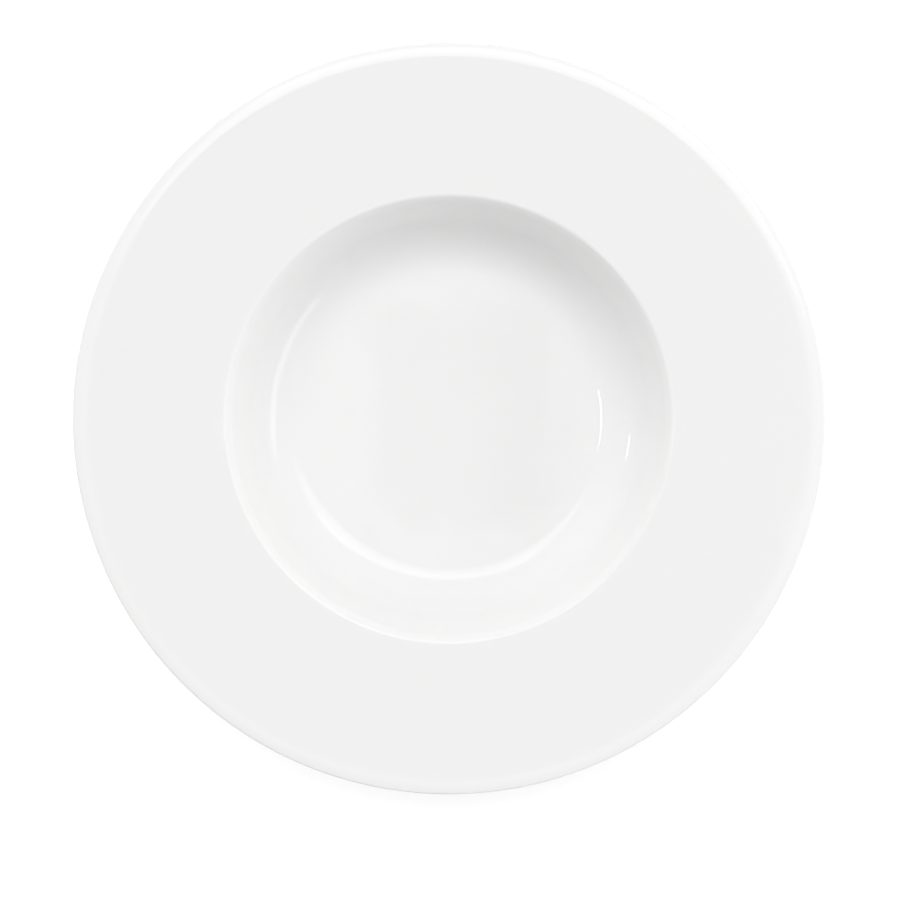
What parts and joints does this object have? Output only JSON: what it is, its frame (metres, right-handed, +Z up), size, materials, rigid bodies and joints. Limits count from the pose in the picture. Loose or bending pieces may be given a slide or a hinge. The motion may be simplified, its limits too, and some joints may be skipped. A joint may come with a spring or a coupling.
{
  "type": "dessert plate",
  "caption": "Round white porcelain plate with a wide, nearly flat rim, a deep well for food and a bare foot ring to stand on.",
  "frame": {"origin": "centre of the foot ring, on the surface that the plate stands on", "axes": "+Z up, along the plate's axis, from the foot towards the rim"},
  "size_m": [0.24, 0.24, 0.0366],
  "materials": {
    "bare_porcelain": "matt fired clay, ground smooth",
    "glaze": "glossy white glaze"
  },
  "bodies": {
    "root": {"porcelain_body": "bare_porcelain", "glaze_coat": "glaze", "base_glaze": "glaze"}
  },
  "joints": []
}
